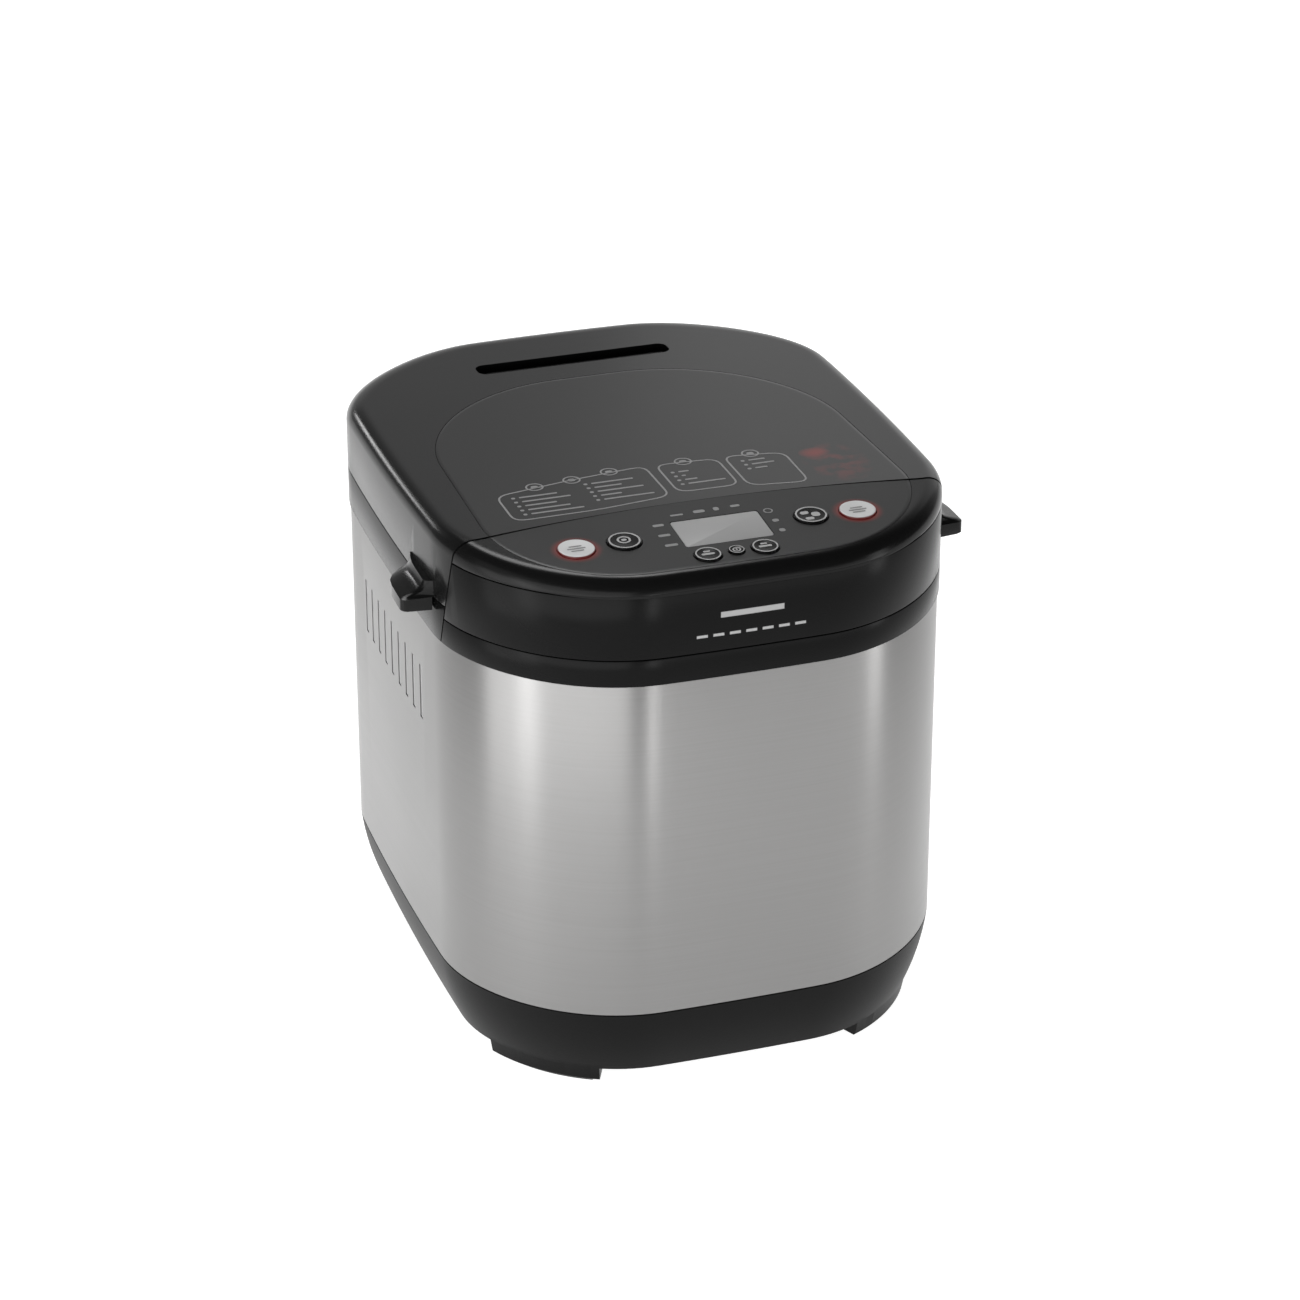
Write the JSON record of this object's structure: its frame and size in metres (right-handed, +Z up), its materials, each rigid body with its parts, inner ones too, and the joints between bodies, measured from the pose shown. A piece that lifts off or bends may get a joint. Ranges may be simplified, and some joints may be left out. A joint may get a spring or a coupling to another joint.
{
  "type": "bread machine",
  "caption": "Countertop bread machine: brushed steel wrap on a black base, hinged black lid with side grips, fixed control deck with display and buttons, lift-out pan and paddle.",
  "frame": {"origin": "on the standing surface, under the middle of the body's outline box", "axes": "+Z up, -Y towards the controls and the cook, +X to the cook's right"},
  "size_m": [0.2724, 0.308, 0.2683],
  "materials": {
    "black_gloss": "glossy black moulded plastic",
    "black_satin": "satin black moulded plastic",
    "brushed_steel": "steel with a fine horizontal brushing",
    "galvanised_sheet": "plain coated sheet",
    "cast_aluminium": "satin aluminium",
    "non_stick_grey": "dark grey non-stick coating",
    "black_rubber": "matte rubber",
    "silver_plastic": "pale button cap",
    "grey_plastic": "mid grey plastic",
    "lcd_glass": "clear-fronted grey-green display",
    "board_green": "solder-masked circuit board",
    "bronze_bush": "sintered bearing bush"
  },
  "bodies": {
    "housing": {"side_rim": "black_gloss", "front_rim": "black_gloss", "front_fascia": "black_gloss", "control_deck": "black_gloss", "control_overlay": "black_gloss", "base_tray": "black_satin", "control_bay_wall": "black_satin", "inner_deck": "black_satin", "steel_wrap": "brushed_steel", "heating_element": "brushed_steel", "temperature_probe": "brushed_steel", "motor": "brushed_steel", "hinge_bracket_left": "brushed_steel", "hinge_bracket_right": "brushed_steel", "hinge_pin_left": "brushed_steel", "hinge_pin_right": "brushed_steel", "baking_chamber": "galvanised_sheet", "chassis_plate": "galvanised_sheet", "pan_seat": "cast_aluminium", "bearing_housing": "cast_aluminium", "foot_pad_front_left": "black_rubber", "foot_pad_front_right": "black_rubber", "foot_pad_back_left": "black_rubber", "foot_pad_back_right": "black_rubber", "cord_gland": "black_rubber", "drive_belt": "black_rubber", "lcd_module": "grey_plastic", "vent_baffle_left": "grey_plastic", "vent_baffle_right": "grey_plastic", "transformer": "grey_plastic", "lcd_window": "lcd_glass", "control_board": "board_green", "power_board": "board_green", "drive_bush": "bronze_bush"},
    "lid": {"lid_shell": "black_gloss", "lid_inlay": "black_gloss", "steam_trough": "black_satin", "lid_liner": "cast_aluminium"},
    "pan": {"bread_pan": "non_stick_grey", "pan_collar": "cast_aluminium", "pan_bush": "bronze_bush", "handle_ear_left": "brushed_steel", "handle_ear_right": "brushed_steel"},
    "pan_bail": {"pan_handle": "brushed_steel"},
    "paddle": {"pan_shaft": "brushed_steel", "pan_dog": "brushed_steel", "kneading_paddle": "non_stick_grey"},
    "drive": {"drive_shaft": "brushed_steel", "drive_dog": "brushed_steel", "large_pulley": "black_satin"},
    "motor_rotor": {"motor_shaft": "brushed_steel", "motor_pulley": "cast_aluminium"},
    "start_stop_button_body": {"start_stop_button": "silver_plastic"},
    "program_button_body": {"program_button": "silver_plastic"},
    "crust_button_body": {"crust_button": "black_gloss"},
    "weight_button_body": {"weight_button": "black_gloss"},
    "timer_minus_button_body": {"timer_minus_button": "black_gloss"},
    "clock_button_body": {"clock_button": "black_gloss"},
    "timer_plus_button_body": {"timer_plus_button": "black_gloss"}
  },
  "joints": [
    {"name": "lid_hinge", "type": "hinge", "parent": "housing", "child": "lid", "pos_m": [0, 0.1505, 0.2335], "axis": [-1, 0, 0], "range_deg": [0, 95]},
    {"name": "pan_lift", "type": "slide", "parent": "housing", "child": "pan", "axis": [0, 0, 1], "range_m": [0, 0.008]},
    {"name": "bail_hinge", "type": "hinge", "parent": "pan", "child": "pan_bail", "pos_m": [0, 0.018, 0.198], "axis": [-1, 0, 0], "range_deg": [0, 12]},
    {"name": "drive_spin", "type": "hinge", "parent": "housing", "child": "drive", "pos_m": [0, 0.018, 0.018], "axis": [0, 0, 1], "continuous": true},
    {"name": "paddle_spin", "type": "hinge", "parent": "pan", "child": "paddle", "pos_m": [0, 0.018, 0.085], "axis": [0, 0, 1], "continuous": true},
    {"name": "motor_spin", "type": "hinge", "parent": "housing", "child": "motor_rotor", "pos_m": [-0.042, -0.113, 0.018], "axis": [0, 0, 1], "continuous": true},
    {"name": "start_stop_press", "type": "slide", "parent": "housing", "child": "start_stop_button_body", "axis": [0, 0.067, -0.9978], "range_m": [0, 0.0012], "stiffness_N_per_m": 300},
    {"name": "program_press", "type": "slide", "parent": "housing", "child": "program_button_body", "axis": [0, 0.067, -0.9978], "range_m": [0, 0.0012], "stiffness_N_per_m": 300},
    {"name": "crust_press", "type": "slide", "parent": "housing", "child": "crust_button_body", "axis": [0, 0.067, -0.9978], "range_m": [0, 0.0012], "stiffness_N_per_m": 300},
    {"name": "weight_press", "type": "slide", "parent": "housing", "child": "weight_button_body", "axis": [0, 0.067, -0.9978], "range_m": [0, 0.0012], "stiffness_N_per_m": 300},
    {"name": "timer_minus_press", "type": "slide", "parent": "housing", "child": "timer_minus_button_body", "axis": [0, 0.067, -0.9978], "range_m": [0, 0.0012], "stiffness_N_per_m": 300},
    {"name": "clock_press", "type": "slide", "parent": "housing", "child": "clock_button_body", "axis": [0, 0.067, -0.9978], "range_m": [0, 0.0012], "stiffness_N_per_m": 300},
    {"name": "timer_plus_press", "type": "slide", "parent": "housing", "child": "timer_plus_button_body", "axis": [0, 0.067, -0.9978], "range_m": [0, 0.0012], "stiffness_N_per_m": 300}
  ],
  "couplings": [
    {"joint": "paddle_spin", "follows": "drive_spin", "ratio": 1},
    {"joint": "motor_spin", "follows": "drive_spin", "ratio": 4.5229}
  ]
}
